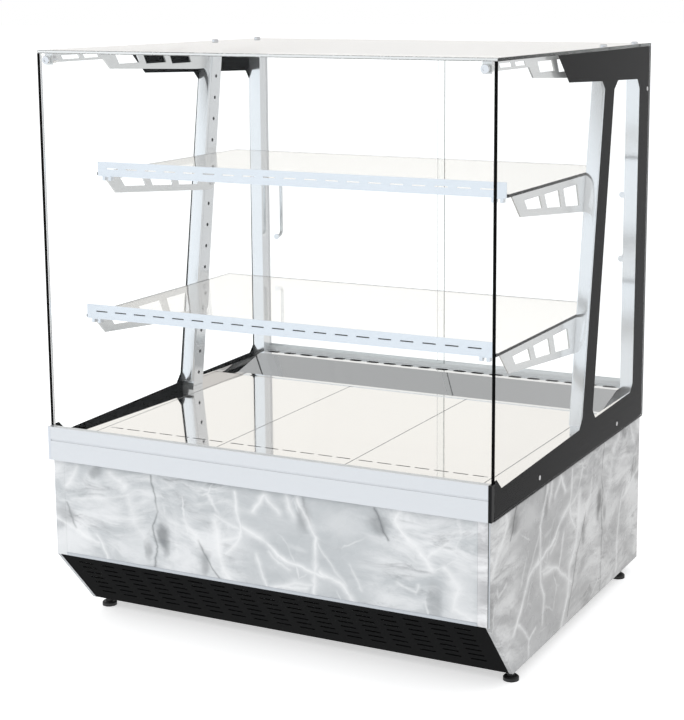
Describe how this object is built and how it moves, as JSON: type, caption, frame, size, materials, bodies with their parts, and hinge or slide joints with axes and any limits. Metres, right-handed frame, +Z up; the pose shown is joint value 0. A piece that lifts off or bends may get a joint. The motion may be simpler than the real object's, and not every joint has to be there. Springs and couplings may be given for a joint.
{
  "type": "refrigerated pastry display case",
  "caption": "Glass-fronted counter display case on a marble-faced cooled base, with glass shelves on slanted posts and sliding rear doors.",
  "frame": {"origin": "floor level under the feet, at the middle of the bounding box", "axes": "+X to the customer's right, -Y towards the customer (the front glass), +Z up"},
  "size_m": [1, 0.9176, 1.219],
  "materials": {
    "clear_glass": "clear toughened glass with polished edges",
    "black_border": "black enamel print fired on the inner face of the side glass",
    "black_seal": "black silicone",
    "satin_aluminium": "satin anodised",
    "satin_steel": "bright stainless steel",
    "polished_steel": "polished stainless steel",
    "chrome": "polished",
    "plated_screws": "bright nickel plated screw heads",
    "marble_panel": "sheet steel printed and lacquered as grey-white marble",
    "black_paint": "black powder coat",
    "rear_paint": "black powder coat",
    "tub_lining": "foamed tub with a stucco aluminium skin",
    "coil_metal": "mill finish fins",
    "fan_sheet": "galvanised sheet",
    "fan_plastic": "moulded",
    "compressor_paint": "black enamel",
    "tray_plastic": "moulded",
    "control_plastic": "moulded",
    "rocker_plastic": "moulded green",
    "foot_plastic": "moulded black"
  },
  "bodies": {
    "case": {"arm_left": "satin_steel", "arm_right": "satin_steel", "base_floor": "black_paint", "base_frame": "black_paint", "bottom_track": "satin_aluminium", "brackets_lower": "satin_steel", "brackets_upper": "satin_steel", "compressor": "compressor_paint", "condenser": "coil_metal", "condenser_fan_plate": "fan_sheet", "corner_seals": "black_seal", "deck_front_strip": "satin_steel", "deck_plates": "polished_steel", "drain_tray": "tray_plastic", "evaporator": "coil_metal", "evaporator_fan_plate": "fan_sheet", "front_fixings": "chrome", "front_glass": "clear_glass", "front_profile": "satin_aluminium", "insulated_tub": "tub_lining", "jambs": "satin_aluminium", "kick_grille": "black_paint", "panel_front": "marble_panel", "panel_left": "marble_panel", "panel_right": "marble_panel", "post_left": "satin_steel", "post_right": "satin_steel", "profile_ends": "satin_aluminium", "rear_duct": "polished_steel", "rear_panel": "rear_paint", "rear_posts": "satin_steel", "shelf_glass_lower": "clear_glass", "shelf_glass_upper": "clear_glass", "shelf_rail_lower": "satin_aluminium", "shelf_rail_upper": "satin_aluminium", "shelf_screws": "chrome", "side_borders": "black_border", "side_glass_left": "clear_glass", "side_glass_right": "clear_glass", "side_ledge_left": "satin_steel", "side_ledge_right": "satin_steel", "side_screws": "plated_screws", "switch_frame": "control_plastic", "temperature_controller": "control_plastic", "top_buttons": "chrome", "top_glass": "clear_glass", "top_track": "satin_aluminium"},
    "sliding_door_left": {"door_left": "clear_glass", "handle_left": "chrome"},
    "sliding_door_right": {"door_right": "clear_glass", "handle_right": "chrome"},
    "levelling_foot_front_left": {"foot_front_left": "foot_plastic"},
    "levelling_foot_front_right": {"foot_front_right": "foot_plastic"},
    "levelling_foot_rear_left": {"foot_rear_left": "foot_plastic"},
    "levelling_foot_rear_right": {"foot_rear_right": "foot_plastic"},
    "cold_fan_left": {"evaporator_fan_left": "fan_plastic"},
    "cold_fan_right": {"evaporator_fan_right": "fan_plastic"},
    "hot_fan": {"condenser_fan": "fan_plastic"},
    "rocker": {"switch_rocker": "rocker_plastic"}
  },
  "joints": [
    {"name": "door_left_slide", "type": "slide", "parent": "case", "child": "sliding_door_left", "axis": [1, 0, 0], "range_m": [0, 0.4]},
    {"name": "door_right_slide", "type": "slide", "parent": "case", "child": "sliding_door_right", "axis": [1, 0, 0], "range_m": [-0.4, 0]},
    {"name": "foot_front_left_turn", "type": "hinge", "parent": "case", "child": "levelling_foot_front_left", "pos_m": [-0.476, -0.29475, 0], "axis": [0, 0, 1], "continuous": true},
    {"name": "foot_front_right_turn", "type": "hinge", "parent": "case", "child": "levelling_foot_front_right", "pos_m": [0.476, -0.29475, 0], "axis": [0, 0, 1], "continuous": true},
    {"name": "foot_rear_left_turn", "type": "hinge", "parent": "case", "child": "levelling_foot_rear_left", "pos_m": [-0.476, 0.35525, 0], "axis": [0, 0, 1], "continuous": true},
    {"name": "foot_rear_right_turn", "type": "hinge", "parent": "case", "child": "levelling_foot_rear_right", "pos_m": [0.476, 0.35525, 0], "axis": [0, 0, 1], "continuous": true},
    {"name": "evaporator_fan_left_spin", "type": "hinge", "parent": "case", "child": "cold_fan_left", "pos_m": [-0.19, 0.09725, 0.3595], "axis": [0, 1, 0], "continuous": true},
    {"name": "evaporator_fan_right_spin", "type": "hinge", "parent": "case", "child": "cold_fan_right", "pos_m": [0.19, 0.09725, 0.3595], "axis": [0, 1, 0], "continuous": true},
    {"name": "condenser_fan_spin", "type": "hinge", "parent": "case", "child": "hot_fan", "pos_m": [0, -0.09975, 0.115], "axis": [0, 1, 0], "continuous": true},
    {"name": "switch_rocker_tilt", "type": "hinge", "parent": "case", "child": "rocker", "pos_m": [0.39, 0.42955, 0.227], "axis": [1, 0, 0], "range_deg": [-20, 0]}
  ]
}
